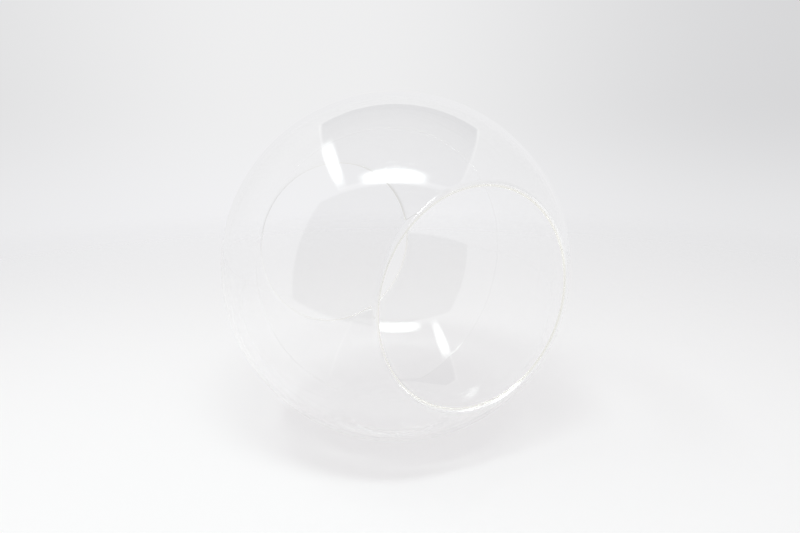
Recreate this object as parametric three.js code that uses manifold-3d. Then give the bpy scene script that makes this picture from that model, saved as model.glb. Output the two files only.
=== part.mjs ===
// A clear blown-glass globe terrarium, empty: one thin hollow sphere with two round mouths that
// face opposite ways, a tapered fire-polished lip round each mouth, and a thick flattened base.
//
// Millimetres, +Z up. The origin is on the surface that the globe stands on, under its middle.
// The front mouth faces -Y and the rear mouth faces +Y.

import * as THREE from 'three';
import { mergeVertices } from 'three/addons/utils/BufferGeometryUtils.js';
import Module from 'manifold-3d';

// Driving dimensions
const GLOBE_RADIUS = 100; // outside of the sphere
const WALL = 2; // thickness of the blown wall
const BASE_FLATTENING = 6; // how far the base is pushed up into the sphere
const BASE_THICKNESS = 4; // glass left under the middle of the globe
const BASE_RADIUS = 44; // where the base has become plain sphere
const MOUTH_HALF_ANGLE = THREE.MathUtils.degToRad(34); // from the mouth's axis to the edge of its lip
const LIP_TAPER = 3.5; // length over which the lip narrows to its rounded edge
const LIP_WIDTH = 6; // wall counted with the lip, measured along the sphere
const JOINT_GAP = 0.3; // between neighbouring pieces

// Facets
const TURN_STEPS = 56; // round a full turn, a multiple of four
const WALL_STEPS = 20; // across the wall from mouth to mouth
const LIP_STEPS = 10; // round the lip's tapered edge
const BEND_STEPS = 4; // round the bend between base and sphere

// Derived dimensions
const INNER_RADIUS = GLOBE_RADIUS - WALL;
const MIDDLE_RADIUS = GLOBE_RADIUS - WALL / 2;
const CENTRE_HEIGHT = GLOBE_RADIUS - BASE_FLATTENING;
const LIP_END_ANGLE = MOUTH_HALF_ANGLE + LIP_WIDTH / MIDDLE_RADIUS;
const WALL_END_ANGLE = LIP_END_ANGLE + JOINT_GAP / MIDDLE_RADIUS;

const wasm = await Module();
wasm.setup();

function clearGlass() {
  return new THREE.MeshStandardMaterial({ color: 0xeef3ef, roughness: 0.03, metalness: 0 });
}

// A closed mesh as a solid for cutting.
function toSolid(geometry) {
  const bare = geometry.clone();
  bare.deleteAttribute('normal');
  bare.deleteAttribute('uv');
  const merged = mergeVertices(bare);
  const mesh = new wasm.Mesh({
    numProp: 3,
    vertProperties: new Float32Array(merged.attributes.position.array),
    triVerts: new Uint32Array(merged.index.array),
  });
  return new wasm.Manifold(mesh);
}

function fromSolid(solid) {
  const mesh = solid.getMesh();
  const geometry = new THREE.BufferGeometry();
  geometry.setAttribute('position', new THREE.BufferAttribute(mesh.vertProperties, 3));
  geometry.setIndex(new THREE.BufferAttribute(mesh.triVerts, 1));
  geometry.computeVertexNormals();
  return geometry;
}

// A profile point in the plane of a mouth's axis: its distance from the globe's centre and its
// angle from the axis.
function polar(distance, angle) {
  return new THREE.Vector2(distance * Math.sin(angle), distance * Math.cos(angle));
}

// Profile points along the sphere of one radius, from one angle to another.
function sphereArc(radius, fromAngle, toAngle, steps) {
  const points = [];
  for (let step = 0; step <= steps; step += 1) {
    points.push(polar(radius, THREE.MathUtils.lerp(fromAngle, toAngle, step / steps)));
  }
  return points;
}

// Profile points round the lip, from the wall's outside over the edge to the wall's inside: half
// an ellipse, bent to follow the sphere.
function lipNose() {
  const points = [];
  for (let step = 0; step <= LIP_STEPS; step += 1) {
    const turn = Math.PI * (step / LIP_STEPS);
    const fromEdge = LIP_TAPER * (1 - Math.sin(turn));
    const distance = MIDDLE_RADIUS + (WALL / 2) * Math.cos(turn);
    points.push(polar(distance, MOUTH_HALF_ANGLE + fromEdge / MIDDLE_RADIUS));
  }
  return points;
}

// Profile points of a level floor that bends up into a sphere about the globe's centre, from the
// floor's edge to BASE_RADIUS. Heights are from the ground.
function floorBend(sphereRadius, floorHeight) {
  const drop = Math.sqrt(sphereRadius ** 2 - BASE_RADIUS ** 2);
  const end = new THREE.Vector2(BASE_RADIUS, CENTRE_HEIGHT - drop);
  const slope = BASE_RADIUS / drop;
  const corner = new THREE.Vector2(BASE_RADIUS - (end.y - floorHeight) / slope, floorHeight);
  const start = new THREE.Vector2(2 * corner.x - BASE_RADIUS, floorHeight);
  return new THREE.QuadraticBezierCurve(start, corner, end).getPoints(BEND_STEPS);
}

// The blown wall between the two lips, with a round hole where the thick base sits.
function globeShell() {
  const profile = [
    ...sphereArc(GLOBE_RADIUS, Math.PI - WALL_END_ANGLE, WALL_END_ANGLE, WALL_STEPS),
    ...sphereArc(INNER_RADIUS, WALL_END_ANGLE, Math.PI - WALL_END_ANGLE, WALL_STEPS),
  ];
  profile.push(profile[0].clone());
  const wall = new THREE.LatheGeometry(profile, TURN_STEPS);
  const holeRadius = BASE_RADIUS + JOINT_GAP;
  const hole = new THREE.CylinderGeometry(holeRadius, holeRadius, GLOBE_RADIUS, TURN_STEPS);
  hole.rotateX(Math.PI / 2);
  hole.translate(0, 0, -GLOBE_RADIUS);
  const shell = fromSolid(toSolid(wall).subtract(toSolid(hole)));
  shell.translate(0, 0, CENTRE_HEIGHT);
  return shell;
}

// The lip of the rear mouth, with the strip of wall that it is drawn from.
function mouthLip() {
  const profile = [
    polar(GLOBE_RADIUS, LIP_END_ANGLE),
    ...lipNose(),
    polar(INNER_RADIUS, LIP_END_ANGLE),
    polar(GLOBE_RADIUS, LIP_END_ANGLE),
  ];
  return new THREE.LatheGeometry(profile, TURN_STEPS);
}

// The thick flattened base: level underneath and level inside, and bent up to meet the wall.
function flattenedBase() {
  const underside = floorBend(GLOBE_RADIUS, 0);
  const inside = floorBend(INNER_RADIUS, BASE_THICKNESS).reverse();
  const profile = [
    new THREE.Vector2(0, 0),
    ...underside,
    ...inside,
    new THREE.Vector2(0, BASE_THICKNESS),
  ];
  const base = new THREE.LatheGeometry(profile, TURN_STEPS);
  base.rotateX(Math.PI / 2);
  return base;
}

function addPiece(group, name, geometry) {
  const piece = new THREE.Mesh(geometry, clearGlass());
  piece.name = name;
  group.add(piece);
  return piece;
}

const globe = new THREE.Group();
addPiece(globe, 'globe_shell', globeShell());
addPiece(globe, 'flattened_base', flattenedBase());

for (const [name, turn] of [['front_lip', Math.PI], ['rear_lip', 0]]) {
  const lip = addPiece(globe, name, mouthLip());
  lip.position.z = CENTRE_HEIGHT;
  lip.rotation.z = turn;
}

export default globe;
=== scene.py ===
"""A clear blown-glass globe terrarium with two opposite mouths, standing on a pale floor.

Lengths are in metres, in the frame of the CAD model: +Z up, front mouth towards -Y.
"""
import math

import bmesh
import bpy
import numpy as np
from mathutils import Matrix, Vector, noise


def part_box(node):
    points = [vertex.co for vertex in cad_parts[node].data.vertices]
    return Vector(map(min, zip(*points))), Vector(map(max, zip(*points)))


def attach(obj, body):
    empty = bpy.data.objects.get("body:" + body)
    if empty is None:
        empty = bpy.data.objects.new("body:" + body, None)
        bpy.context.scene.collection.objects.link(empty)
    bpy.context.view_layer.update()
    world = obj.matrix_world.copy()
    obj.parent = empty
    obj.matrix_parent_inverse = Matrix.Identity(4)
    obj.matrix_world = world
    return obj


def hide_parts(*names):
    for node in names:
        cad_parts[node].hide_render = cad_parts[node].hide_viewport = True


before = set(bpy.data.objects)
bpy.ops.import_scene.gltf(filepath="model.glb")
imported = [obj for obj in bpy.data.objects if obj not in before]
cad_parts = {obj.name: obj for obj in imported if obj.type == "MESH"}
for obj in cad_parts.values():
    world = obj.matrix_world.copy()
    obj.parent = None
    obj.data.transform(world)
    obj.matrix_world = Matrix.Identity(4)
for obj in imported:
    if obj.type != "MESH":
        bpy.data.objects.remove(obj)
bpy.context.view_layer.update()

MM = 0.001
UP = Vector((0, 0, 1))
MOUTH_AXIS = Vector((0, 1, 0))

# Sizes of the glass, read from the boxes of the CAD nodes
shell_low, shell_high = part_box("globe_shell")
rear_lip_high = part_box("rear_lip")[1]
base_low, base_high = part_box("flattened_base")
RADIUS = (shell_high[0] - shell_low[0]) / 2
CENTRE = Vector((0, 0, shell_high[2] - RADIUS))
BASE_RADIUS = (base_high[0] - base_low[0]) / 2

# Sizes of the glass that no box shows
WALL = 2.0 * MM
LIP_WIDTH = 6.0 * MM
LIP_TAPER = 3.5 * MM
BASE_THICKNESS = 4.0 * MM
BASE_CUT_HEIGHT = 5.2 * MM

# Where a lip ends on the wall, starts at its mouth and stops narrowing, seen from the centre
MIDDLE_RADIUS = RADIUS - WALL / 2
LIP_END_ANGLE = math.asin(rear_lip_high[0] / RADIUS)
MOUTH_ANGLE = LIP_END_ANGLE - LIP_WIDTH / MIDDLE_RADIUS
TAPER_END_ANGLE = MOUTH_ANGLE + LIP_TAPER / MIDDLE_RADIUS

# How finely the glass is meshed, and how near the cut a vertex counts as lying on it
TURN_STEPS = 288
WALL_STEPS = 112
LIP_STEPS = 4
NOSE_STEPS = 28
CUT_SLACK = 1e-7

# Material slots of each piece of glass
GLASS_SLOT = 0
JOINT_SLOT = 1

# Slow unevenness of hand-blown glass, always inwards: depth and length of the waves
WAVES = ((0.10 * MM, 60 * MM), (0.01 * MM, 30 * MM))

# The camera, seen from the globe's centre
CAMERA_AZIMUTH = math.radians(-29.9)
CAMERA_ELEVATION = math.radians(13.3)
CAMERA_DISTANCE = 3.97 * RADIUS
CAMERA_RIGHT = 0.0237 * RADIUS
LENS = 30.3
SENSOR = 36.0
CLIP_START = 0.01
CLIP_END = 50


# ---------------------------------------------------------------- camera

def camera_axes():
    """Right, forward on the level, and back from the object to the camera."""
    right = Vector((math.cos(CAMERA_AZIMUTH), math.sin(CAMERA_AZIMUTH), 0))
    level = Vector((-math.sin(CAMERA_AZIMUTH), math.cos(CAMERA_AZIMUTH), 0))
    back = UP * math.sin(CAMERA_ELEVATION) - level * math.cos(CAMERA_ELEVATION)
    return right, level, back


def add_camera():
    right, level, back = camera_axes()
    data = bpy.data.cameras.new("camera")
    data.lens = LENS
    data.sensor_width = SENSOR
    data.clip_start = CLIP_START
    data.clip_end = CLIP_END
    camera = bpy.data.objects.new("camera", data)
    camera.location = CENTRE + back * CAMERA_DISTANCE + right * CAMERA_RIGHT
    camera.rotation_mode = "QUATERNION"
    camera.rotation_quaternion = (-back).to_track_quat("-Z", "Y")
    bpy.context.collection.objects.link(camera)
    bpy.context.scene.camera = camera


# ---------------------------------------------------------------- node graphs

class Graph:
    """Short ways to add and join shader nodes in one tree."""

    def __init__(self, tree):
        self.tree = tree
        tree.nodes.clear()

    def add(self, kind, inputs=None, **settings):
        node = self.tree.nodes.new(kind)
        for name, value in settings.items():
            setattr(node, name, value)
        for key, value in (inputs or {}).items():
            self.feed(node.inputs[key], value)
        return node

    def feed(self, socket, value):
        if isinstance(value, bpy.types.NodeSocket):
            self.tree.links.new(value, socket)
        else:
            socket.default_value = value

    def math(self, operation, first, second=0.0, clamp=False):
        node = self.add("ShaderNodeMath", {0: first, 1: second}, operation=operation)
        node.use_clamp = clamp
        return node.outputs[0]

    def smooth(self, value, low, high, start=0.0, end=1.0):
        """start below low, end above high, and a smooth step between."""
        node = self.add(
            "ShaderNodeMapRange",
            {"Value": value, "From Min": low, "From Max": high, "To Min": start, "To Max": end},
            interpolation_type="SMOOTHSTEP",
        )
        return node.outputs["Result"]

    def mix(self, factor, first, second):
        node = self.add("ShaderNodeMix", data_type="RGBA")
        self.feed(node.inputs["Factor"], factor)
        self.feed(node.inputs["A"], first)
        self.feed(node.inputs["B"], second)
        return node.outputs["Result"]

    def dot(self, vector, axis):
        node = self.add("ShaderNodeVectorMath", {0: vector, 1: axis}, operation="DOT_PRODUCT")
        return node.outputs["Value"]


def new_material(name):
    material = bpy.data.materials.new(name)
    material.use_nodes = True
    return material, Graph(material.node_tree)


# ---------------------------------------------------------------- glass materials

CLEAR = (1.0, 1.0, 1.0, 1)
GLASS_IOR = 1.52

# Faint wiped streaks: noise squeezed along Z, so that they lie level, and how rough the wall and
# the lips get
WIPE_SCALE = 38.0
WIPE_DETAIL = 5.0
WIPE_HARSHNESS = 0.62
WIPE_SQUEEZE = (1.0, 1.0, 2.6)
WIPE_RANGE = (0.52, 0.78)
WALL_WIPES = 0.012
LIP_WIPES = 0.006

# The slight ripple of the surface
RIPPLE_SCALE = 90.0
RIPPLE_DETAIL = 1.0
RIPPLE_STRENGTH = 0.05
RIPPLE_HEIGHT = 0.01 * MM

# The mouths' edges: an olive tint that is partly the glass's own colour and partly painted shade,
# standing in for the darker olive line that light shows after running along inside the wall; and a
# little dull from the flame
EDGE_TINT_AND_SHADE = (0.965, 0.957, 0.895, 1)
EDGE_ROUGHNESS = 0.16
EDGE_WIDTH = 1.3 * MM

# Light that has been mirrored very often inside the wall meets rougher glass and leaks out: a
# little from the first number of mirrorings on, and fully at the second
LEAK_AFTER = (90, 150)
LEAK_ROUGHNESS = 0.5


def edge_mask(graph, place):
    """0 over the wall, rising to 1 over the last stretch before the mouth's edge."""
    from_centre = graph.add("ShaderNodeVectorMath", {0: place, 1: CENTRE}, operation="SUBTRACT")
    outwards = graph.add("ShaderNodeVectorMath", {0: from_centre.outputs[0]}, operation="NORMALIZE")
    cosine = graph.math("ABSOLUTE", graph.dot(outwards.outputs[0], MOUTH_AXIS))
    start = math.cos(MOUTH_ANGLE + EDGE_WIDTH / MIDDLE_RADIUS)
    return graph.smooth(cosine, start, math.cos(MOUTH_ANGLE))


def wiped_roughness(graph, place, roughest):
    """Faint streaks from wiping, none of them rougher than the given value."""
    squeezed = graph.add("ShaderNodeMapping", {"Vector": place, "Scale": WIPE_SQUEEZE})
    wipes = graph.add(
        "ShaderNodeTexNoise",
        {
            "Vector": squeezed.outputs["Vector"],
            "Scale": WIPE_SCALE,
            "Detail": WIPE_DETAIL,
            "Roughness": WIPE_HARSHNESS,
        },
    )
    return graph.smooth(wipes.outputs["Fac"], *WIPE_RANGE, 0.0, roughest)


def ripple_normal(graph, place):
    """The surface's normal, rocked a little by the ripple."""
    ripple = graph.add(
        "ShaderNodeTexNoise",
        {
            "Vector": place,
            "Scale": RIPPLE_SCALE,
            "Detail": RIPPLE_DETAIL,
        },
    )
    bump = graph.add(
        "ShaderNodeBump",
        {
            "Height": ripple.outputs["Fac"],
            "Strength": RIPPLE_STRENGTH,
            "Distance": RIPPLE_HEIGHT,
        },
    )
    return bump.outputs["Normal"]


def glass_material(name, roughest_wipe, has_edge):
    """Clear glass that lets out the light that has run far along inside the wall; on a lip, with an
    olive edge that is partly the glass's own tint and partly painted shade."""
    material, graph = new_material(name)
    place = graph.add("ShaderNodeTexCoord").outputs["Object"]
    mirrorings = graph.add("ShaderNodeLightPath").outputs["Glossy Depth"]
    leak = graph.smooth(mirrorings, *LEAK_AFTER, 0.0, LEAK_ROUGHNESS)
    roughness = graph.math("ADD", wiped_roughness(graph, place, roughest_wipe), leak)
    colour = CLEAR
    if has_edge:
        edge = edge_mask(graph, place)
        # Painted shade: the olive over the edge stands in for the darker line that light run along
        # inside the wall gives, on top of the glass's own tint
        colour = graph.mix(edge, CLEAR, EDGE_TINT_AND_SHADE)
        roughness = graph.math("ADD", roughness, graph.math("MULTIPLY", edge, EDGE_ROUGHNESS))
    shader = graph.add(
        "ShaderNodeBsdfPrincipled",
        {
            "Base Color": colour,
            "Roughness": roughness,
            "IOR": GLASS_IOR,
            "Transmission Weight": 1.0,
            "Normal": ripple_normal(graph, place),
        },
    )
    graph.add("ShaderNodeOutputMaterial", {"Surface": shader.outputs["BSDF"]})
    return material


def joint_material():
    """The faces where two stretches of the same glass meet: light goes straight through."""
    material, graph = new_material("glass_continues")
    shader = graph.add("ShaderNodeBsdfTransparent")
    graph.add("ShaderNodeOutputMaterial", {"Surface": shader.outputs["BSDF"]})
    return material


# ---------------------------------------------------------------- glass shape

def band_angles():
    """Angles from the +Y axis along the wall, from taper to taper."""
    lip = np.linspace(TAPER_END_ANGLE, LIP_END_ANGLE, LIP_STEPS, endpoint=False)
    wall = np.linspace(LIP_END_ANGLE, math.pi - LIP_END_ANGLE, WALL_STEPS + 1)
    return np.concatenate([lip, wall, math.pi - lip[::-1]])


def surface_profile(side):
    """(distance from the mouth axis, place along it) down one side of the wall; side is +1
    outside and -1 inside."""
    angles = band_angles()
    distance = MIDDLE_RADIUS + side * WALL / 2
    return np.stack([distance * np.sin(angles), distance * np.cos(angles)], 1)


def nose_profile(direction):
    """Round a lip's tapered edge from the outside to the inside; direction is +1 at the rear
    mouth."""
    turn = np.linspace(0, math.pi, NOSE_STEPS + 1)[1:-1]
    angles = MOUTH_ANGLE + LIP_TAPER * (1 - np.sin(turn)) / MIDDLE_RADIUS
    distance = MIDDLE_RADIUS + WALL / 2 * np.cos(turn)
    return np.stack([distance * np.sin(angles), direction * distance * np.cos(angles)], 1)


def closed_profile():
    """Once round the glass: rear lip, inside, front lip, outside."""
    return np.concatenate([
        nose_profile(1),
        surface_profile(-1),
        nose_profile(-1)[::-1],
        surface_profile(1)[::-1],
    ])


def base_height(across, sphere_radius, floor):
    """Height of the pressed base at a distance from the upright axis: a level floor that bends
    up into the sphere."""
    drop = math.sqrt(sphere_radius**2 - BASE_RADIUS**2)
    rise = CENTRE.z - drop - floor
    run = 2 * rise * drop / BASE_RADIUS
    bend = np.clip((across - (BASE_RADIUS - run)) / run, 0, 1)
    return floor + rise * bend**2


def wave_depth(point):
    """How far the surface sinks at a point."""
    depth = 0.0
    for size, length in WAVES:
        depth += size * (0.5 + 0.5 * noise.noise(point / length))
    return depth


def shape_point(point, is_inside):
    """One vertex of the plain turned wall, moved by the waves and the pressed base."""
    distance = point.length
    shifted = point * (1 - wave_depth(point) / distance) + CENTRE
    across = math.hypot(shifted.x, shifted.y)
    if across < BASE_RADIUS and shifted.z < CENTRE.z:
        sphere_radius = RADIUS - WALL if is_inside else RADIUS
        floor = BASE_THICKNESS if is_inside else 0.0
        shifted.z = float(base_height(across, sphere_radius, floor))
    return shifted


def turned_glass():
    """The closed profile turned round the mouth axis, moved by the waves and the pressed base."""
    profile = closed_profile()
    rings = []
    mesh = bmesh.new()
    for step in range(TURN_STEPS):
        turn = 2 * math.pi * step / TURN_STEPS
        ring = []
        for across, along in profile:
            point = Vector((across * math.sin(turn), along, across * math.cos(turn)))
            is_inside = point.length < MIDDLE_RADIUS
            ring.append(mesh.verts.new(shape_point(point, is_inside)))
        rings.append(ring)
    count = len(profile)
    for step in range(TURN_STEPS):
        ring = rings[step]
        following = rings[(step + 1) % TURN_STEPS]
        for index in range(count):
            after = (index + 1) % count
            mesh.faces.new((ring[index], ring[after], following[after], following[index]))
    return mesh


def whole_glass():
    """The whole glass as one closed mesh, with its faces cut along the edge of the base."""
    mesh = turned_glass()
    bmesh.ops.recalc_face_normals(mesh, faces=mesh.faces)
    bmesh.ops.bisect_plane(
        mesh,
        geom=[*mesh.verts, *mesh.edges, *mesh.faces],
        dist=CUT_SLACK,
        plane_co=UP * BASE_CUT_HEIGHT,
        plane_no=UP,
    )
    mesh.normal_update()
    return mesh


def region_of(face):
    """Which part of the glass a face belongs to: base, front, rear or wall."""
    middle = face.calc_center_median()
    if middle.z < BASE_CUT_HEIGHT:
        return "base"
    from_centre = middle - CENTRE
    angle = math.acos(from_centre.y / from_centre.length)
    if angle < LIP_END_ANGLE:
        return "rear"
    if angle > math.pi - LIP_END_ANGLE:
        return "front"
    return "wall"


def edge_loops(edges):
    """Closed chains of vertices through these edges."""
    neighbours = {}
    for edge in edges:
        first, second = edge.verts
        neighbours.setdefault(first, []).append(second)
        neighbours.setdefault(second, []).append(first)
    loops = []
    unused = dict.fromkeys(neighbours)
    while unused:
        start = next(iter(unused))
        loop = [start]
        del unused[start]
        while True:
            onwards = [vert for vert in neighbours[loop[-1]] if vert in unused]
            if not onwards:
                break
            loop.append(onwards[0])
            del unused[onwards[0]]
        loops.append(loop)
    return loops


def by_turn(loop, axis):
    """The loop's vertices in order of their angle about the axis, with those angles."""
    if axis == "Z":
        angles = {vert: math.atan2(vert.co.y, vert.co.x) for vert in loop}
    else:
        angles = {vert: math.atan2(vert.co.z - CENTRE.z, vert.co.x) for vert in loop}
    order = sorted(loop, key=angles.get)
    return order, [angles[vert] for vert in order]


def cap_between(mesh, first_loop, second_loop, axis):
    """Triangles that close the gap between two loops round one axis, stepping along the loop
    whose next vertex comes first round it."""
    first, first_turn = by_turn(first_loop, axis)
    second, second_turn = by_turn(second_loop, axis)
    faces = []
    i = j = 0
    while i < len(first) or j < len(second):
        here = first[i % len(first)]
        there = second[j % len(second)]
        next_first = first_turn[i + 1] if i + 1 < len(first) else math.inf
        next_second = second_turn[j + 1] if j + 1 < len(second) else math.inf
        if j >= len(second) or (i < len(first) and next_first <= next_second):
            faces.append(mesh.faces.new((here, first[(i + 1) % len(first)], there)))
            i += 1
        else:
            faces.append(mesh.faces.new((here, second[(j + 1) % len(second)], there)))
            j += 1
    return faces


def joint_axis(loop):
    """The axis that an open edge of a piece runs round, and which joint it belongs to."""
    middle = sum((vert.co for vert in loop), Vector()) / len(loop)
    if middle.z < CENTRE.z / 2:
        return "Z", "base"
    return "Y", "rear" if middle.y > 0 else "front"


def copy_region(region, whole):
    """A new mesh of one region's faces, and the whole glass's normal at each of its vertices."""
    mesh = bmesh.new()
    copies = {}
    normals = {}
    for face in whole.faces:
        if region_of(face) != region:
            continue
        corners = []
        for vert in face.verts:
            if vert not in copies:
                copies[vert] = mesh.verts.new(vert.co)
                normals[copies[vert]] = vert.normal.copy()
            corners.append(copies[vert])
        mesh.faces.new(corners).smooth = True
    return mesh, normals


def close_joints(mesh):
    """Flat faces of the joint's material between the glass's inside and outside at each joint."""
    pairs = {}
    for loop in edge_loops([edge for edge in mesh.edges if edge.is_boundary]):
        pairs.setdefault(joint_axis(loop), []).append(loop)
    for (axis, _), (first, second) in pairs.items():
        for face in cap_between(mesh, first, second, axis):
            face.material_index = JOINT_SLOT
            face.smooth = False


def glass_piece(name, region, whole, material, joint):
    """One region of the glass as a closed mesh of its own that keeps the whole glass's normals."""
    mesh, normals = copy_region(region, whole)
    close_joints(mesh)
    bmesh.ops.recalc_face_normals(mesh, faces=mesh.faces)
    mesh.verts.index_update()
    by_index = [normals[vert] for vert in mesh.verts]
    data = bpy.data.meshes.new(name)
    mesh.to_mesh(data)
    mesh.free()
    # A normal of zero length leaves the corner as it is, so the joints stay flat
    corner_normals = [(0.0, 0.0, 0.0)] * len(data.loops)
    for polygon in data.polygons:
        if polygon.material_index == GLASS_SLOT:
            for corner in polygon.loop_indices:
                corner_normals[corner] = by_index[data.loops[corner].vertex_index]
    data.normals_split_custom_set(corner_normals)
    data.materials.append(material)
    data.materials.append(joint)
    piece = bpy.data.objects.new(name, data)
    bpy.context.collection.objects.link(piece)
    return piece


def add_glass():
    wall_glass = glass_material("wall_glass", WALL_WIPES, has_edge=False)
    lip_glass = glass_material("lip_glass", LIP_WIPES, has_edge=True)
    joint = joint_material()
    whole = whole_glass()
    plan = (
        ("blown_wall", "wall", "globe_shell", wall_glass),
        ("pressed_base", "base", "flattened_base", wall_glass),
        ("polished_front_lip", "front", "front_lip", lip_glass),
        ("polished_rear_lip", "rear", "rear_lip", lip_glass),
    )
    for name, region, node, material in plan:
        piece = glass_piece(name, region, whole, material, joint)
        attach(piece, "root")
        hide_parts(node)
        piece.cycles.is_caustics_caster = True
    whole.free()


# ---------------------------------------------------------------- studio

# The floor, in metres, a hair below the glass; it fades away between the two distances
FLOOR_RADIUS = 2.4
FLOOR_SEGMENTS = 96
FLOOR_GAP = 0.3 * MM
FLOOR_FADE = (0.2, 0.9)
FLOOR_WHITE = (0.90, 0.90, 0.90, 1)

# The surroundings as they light the floor, and as the glass mirrors them
FILL_LIGHT = (0.889, 0.878, 0.886, 1)
TENT_WHITE = (0.85, 0.85, 0.86, 1)

# The backdrop as it is seen directly: in its brightest column and at its sides, high up and low
# down. The last three are sines of angles: where the brightest column stands, where the sides
# fall off, and where low turns to high.
BACKDROP = (0.86, 0.86, 0.865, 1)
BACKDROP_EDGE = (0.68, 0.68, 0.69, 1)
BACKDROP_LOW = (0.88, 0.88, 0.895, 1)
BACKDROP_LOW_EDGE = (0.79, 0.79, 0.80, 1)
BACKDROP_MIDDLE = -0.13
BACKDROP_FALL = (0.05, 0.68)
BACKDROP_RISE = (-0.16, 0.02)

# The tent round the globe, in globe radii: middles to the right, ahead and up from the centre
CEILING_MIDDLE = (0.2, 0.95, 5.6)
CEILING_SIZE = (7.6, 7.9)
CEILING_BORDER = 0.15
OPENING_MIDDLE = (-0.9, -3.0, 2.1)
OPENING_SIZE = (8.4, 6.08)
PANEL_EDGE = 0.12
CEILING_NEAR = (0.24, 0.24, 0.28, 1)
CEILING_FAR = (0.18, 0.18, 0.22, 1)
BORDER_WHITE = (1.1, 1.1, 1.1, 1)
OPENING_DARK = (0.26, 0.25, 0.25, 1)

# How far the ceiling turns to tent white, and how many glass surfaces the light has passed
# through when it starts to and when it is done
CEILING_PALING = 0.9
PALING_RANGE = (0.5, 1.5)

# Light strips under the ceiling: middle, width and length in globe radii, and power in watts
STRIPS = (
    ("left_strip", (-3.1, -0.6, 5.3), 1.0, 4.8, 0.42),
    ("front_strip", (-0.1, -2.5, 5.3), 4.1, 1.2, 0.85),
)
STRIP_GLOW = 2.4
STRIP_COLOUR = (0.92, 1.0, 0.97)
STRIP_EDGE = 0.22

# How often light may bounce, because it can run a long way along inside a glass wall
LIGHT_BOUNCES = 400


def box_mask(graph, first, first_range, second, second_range, edge):
    """1 inside a rectangle and 0 outside, with a soft edge of this width either way; each range
    is the middle and the half side."""
    masks = []
    for value, (middle, half) in ((first, first_range), (second, second_range)):
        offset = graph.math("ABSOLUTE", graph.math("SUBTRACT", value, middle))
        masks.append(graph.smooth(offset, half - edge, half + edge, 1.0, 0.0))
    return graph.math("MULTIPLY", *masks)


def ray_history(graph):
    """Whether light has been mirrored at all, mirrored just once, and scattered by the floor,
    as 0 or 1."""
    path = graph.add("ShaderNodeLightPath")
    mirrorings = path.outputs["Glossy Depth"]
    mirrored = graph.math("MINIMUM", mirrorings, 1.0)
    from_one = graph.math("ABSOLUTE", graph.math("SUBTRACT", mirrorings, 1.0))
    once = graph.math("SUBTRACT", 1.0, from_one, clamp=True)
    scattered = graph.math("MINIMUM", path.outputs["Diffuse Depth"], 1.0)
    return mirrored, once, scattered


def studio_place(place):
    """A place given to the right, ahead and up from the globe's centre, in globe radii."""
    right, level, _ = camera_axes()
    side, ahead, up = place
    return CENTRE + (right * side + level * ahead + UP * up) * RADIUS


def add_world():
    """A plain backdrop where it is seen directly or through the glass, an even white tent where
    the glass mirrors it, and fill light on the floor."""
    world = bpy.data.worlds.new("studio")
    world.use_nodes = True
    bpy.context.scene.world = world
    graph = Graph(world.node_tree)
    direction = graph.add("ShaderNodeTexCoord").outputs["Generated"]
    side = graph.math("SUBTRACT", graph.dot(direction, camera_axes()[0]), BACKDROP_MIDDLE)
    fall = graph.smooth(graph.math("ABSOLUTE", side), *BACKDROP_FALL)
    low = graph.smooth(graph.dot(direction, UP), *BACKDROP_RISE, 1.0, 0.0)
    high_colour = graph.mix(fall, BACKDROP, BACKDROP_EDGE)
    low_colour = graph.mix(fall, BACKDROP_LOW, BACKDROP_LOW_EDGE)
    backdrop = graph.mix(low, high_colour, low_colour)
    mirrored, _, scattered = ray_history(graph)
    colour = graph.mix(scattered, graph.mix(mirrored, backdrop, TENT_WHITE), FILL_LIGHT)
    background = graph.add("ShaderNodeBackground", {"Color": colour, "Strength": 1.0})
    graph.add("ShaderNodeOutputWorld", {"Surface": background.outputs["Background"]})


def panel_material(name, half_width, half_length, near_colour, far_colour, border, paling):
    """A glow that changes along the panel's length, inside a bright border, and that shows only
    in light mirrored once and not scattered."""
    material, graph = new_material(name)
    local = graph.add("ShaderNodeTexCoord").outputs["Object"]
    place = graph.add("ShaderNodeSeparateXYZ", {0: local})
    inner = box_mask(
        graph,
        place.outputs["X"], (0.0, half_width - border),
        place.outputs["Y"], (0.0, half_length - border),
        PANEL_EDGE * RADIUS,
    )
    along = graph.smooth(place.outputs["Y"], -half_length, half_length)
    passed = graph.add("ShaderNodeLightPath").outputs["Transmission Depth"]
    pale = graph.smooth(passed, *PALING_RANGE, 0.0, paling)
    plain = graph.mix(pale, graph.mix(along, near_colour, far_colour), TENT_WHITE)
    glow = graph.add("ShaderNodeEmission", {"Color": graph.mix(inner, BORDER_WHITE, plain)})
    clear = graph.add("ShaderNodeBsdfTransparent")
    _, once, scattered = ray_history(graph)
    blend = graph.add(
        "ShaderNodeMixShader",
        {
            0: graph.math("SUBTRACT", once, scattered, clamp=True),
            1: clear.outputs["BSDF"],
            2: glow.outputs["Emission"],
        },
    )
    graph.add("ShaderNodeOutputMaterial", {"Surface": blend.outputs["Shader"]})
    material.cycles.emission_sampling = "NONE"
    return material


def studio_object(name, mesh, material):
    """A piece of the studio made of this bmesh, which is freed."""
    data = bpy.data.meshes.new(name)
    mesh.to_mesh(data)
    mesh.free()
    data.materials.append(material)
    thing = bpy.data.objects.new(name, data)
    bpy.context.collection.objects.link(thing)
    return thing


def add_panel(name, middle, size, tilt, near_colour, far_colour, border, paling):
    """A rectangle of the tent. Its middle, size and border are in globe radii."""
    half_width, half_length = (side * RADIUS / 2 for side in size)
    material = panel_material(
        name, half_width, half_length, near_colour, far_colour, border * RADIUS, paling
    )
    mesh = bmesh.new()
    corners = [
        mesh.verts.new((side * half_width, end * half_length, 0))
        for side, end in ((-1, -1), (1, -1), (1, 1), (-1, 1))
    ]
    mesh.faces.new(corners)
    panel = studio_object(name, mesh, material)
    panel.location = studio_place(middle)
    panel.rotation_euler = (tilt, 0, CAMERA_AZIMUTH)


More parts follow.
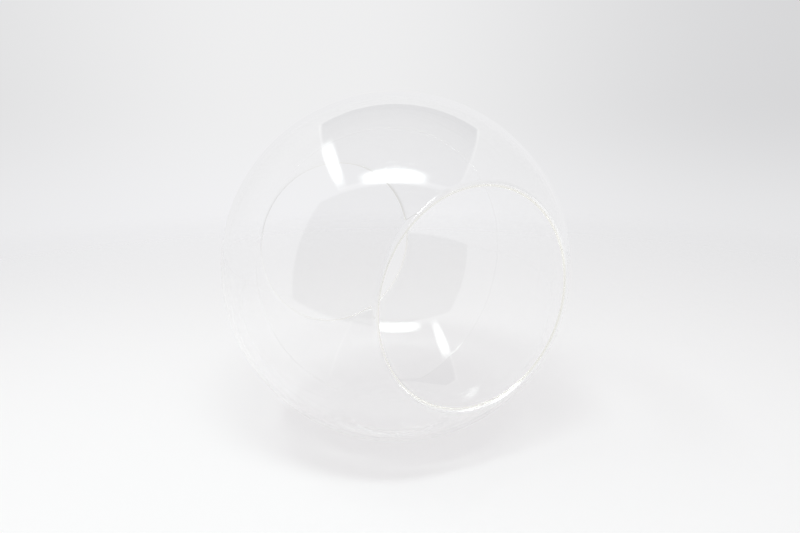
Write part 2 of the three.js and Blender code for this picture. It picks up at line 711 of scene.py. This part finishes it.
def add_tent():
    """The tent's grey ceiling, and its open front with the darker room behind."""
    add_panel(
        "tent_ceiling", CEILING_MIDDLE, CEILING_SIZE, 0,
        CEILING_NEAR, CEILING_FAR, CEILING_BORDER, CEILING_PALING,
    )
    add_panel(
        "tent_opening", OPENING_MIDDLE, OPENING_SIZE, math.pi / 2,
        OPENING_DARK, OPENING_DARK, 0, 0.0,
    )


def floor_material():
    """Plain white round the globe, that fades away with the distance from it."""
    material, graph = new_material("floor")
    place = graph.add("ShaderNodeTexCoord").outputs["Object"]
    distance = graph.add("ShaderNodeVectorMath", {0: place}, operation="LENGTH").outputs["Value"]
    diffuse = graph.add("ShaderNodeBsdfDiffuse", {"Color": FLOOR_WHITE})
    clear = graph.add("ShaderNodeBsdfTransparent")
    blend = graph.add(
        "ShaderNodeMixShader",
        {
            0: graph.smooth(distance, *FLOOR_FADE),
            1: diffuse.outputs["BSDF"],
            2: clear.outputs["BSDF"],
        },
    )
    graph.add("ShaderNodeOutputMaterial", {"Surface": blend.outputs["Shader"]})
    return material


def add_floor():
    mesh = bmesh.new()
    bmesh.ops.create_circle(mesh, cap_ends=True, segments=FLOOR_SEGMENTS, radius=FLOOR_RADIUS)
    floor = studio_object("floor", mesh, floor_material())
    floor.location.z = -FLOOR_GAP
    floor.cycles.is_caustics_receiver = True


def strip_glow(tree):
    """An even glow that softens towards the strip's edges."""
    graph = Graph(tree)
    across = graph.add("ShaderNodeNewGeometry").outputs["Parametric"]
    split = graph.add("ShaderNodeSeparateXYZ", {0: across})
    # Both coordinates run from 0 to 1 across the strip
    inside = (0.5, 0.5 - STRIP_EDGE)
    soft = box_mask(graph, split.outputs["X"], inside, split.outputs["Y"], inside, STRIP_EDGE)
    strength = graph.math("MULTIPLY", soft, STRIP_GLOW)
    glow = graph.add("ShaderNodeEmission", {"Strength": strength})
    graph.add("ShaderNodeOutputLight", {"Surface": glow.outputs["Emission"]})


def add_strips():
    for name, middle, width, length, watts in STRIPS:
        data = bpy.data.lights.new(name, "AREA")
        data.shape = "RECTANGLE"
        data.size = width * RADIUS
        data.size_y = length * RADIUS
        data.energy = watts
        data.color = STRIP_COLOUR
        data.cycles.is_caustics_light = True
        data.use_nodes = True
        strip_glow(data.node_tree)
        strip = bpy.data.objects.new(name, data)
        strip.location = studio_place(middle)
        strip.rotation_euler = (0, 0, CAMERA_AZIMUTH)
        bpy.context.collection.objects.link(strip)


def let_light_run():
    """Light may bounce often, and the glass stays sharp in light that the floor has scattered."""
    cycles = bpy.context.scene.cycles
    cycles.blur_glossy = 0
    cycles.max_bounces = LIGHT_BOUNCES
    cycles.glossy_bounces = LIGHT_BOUNCES
    cycles.transmission_bounces = LIGHT_BOUNCES
    cycles.transparent_max_bounces = LIGHT_BOUNCES


add_camera()
add_glass()
add_floor()
add_world()
add_tent()
add_strips()
let_light_run()
bpy.context.scene.view_settings.view_transform = "Standard"
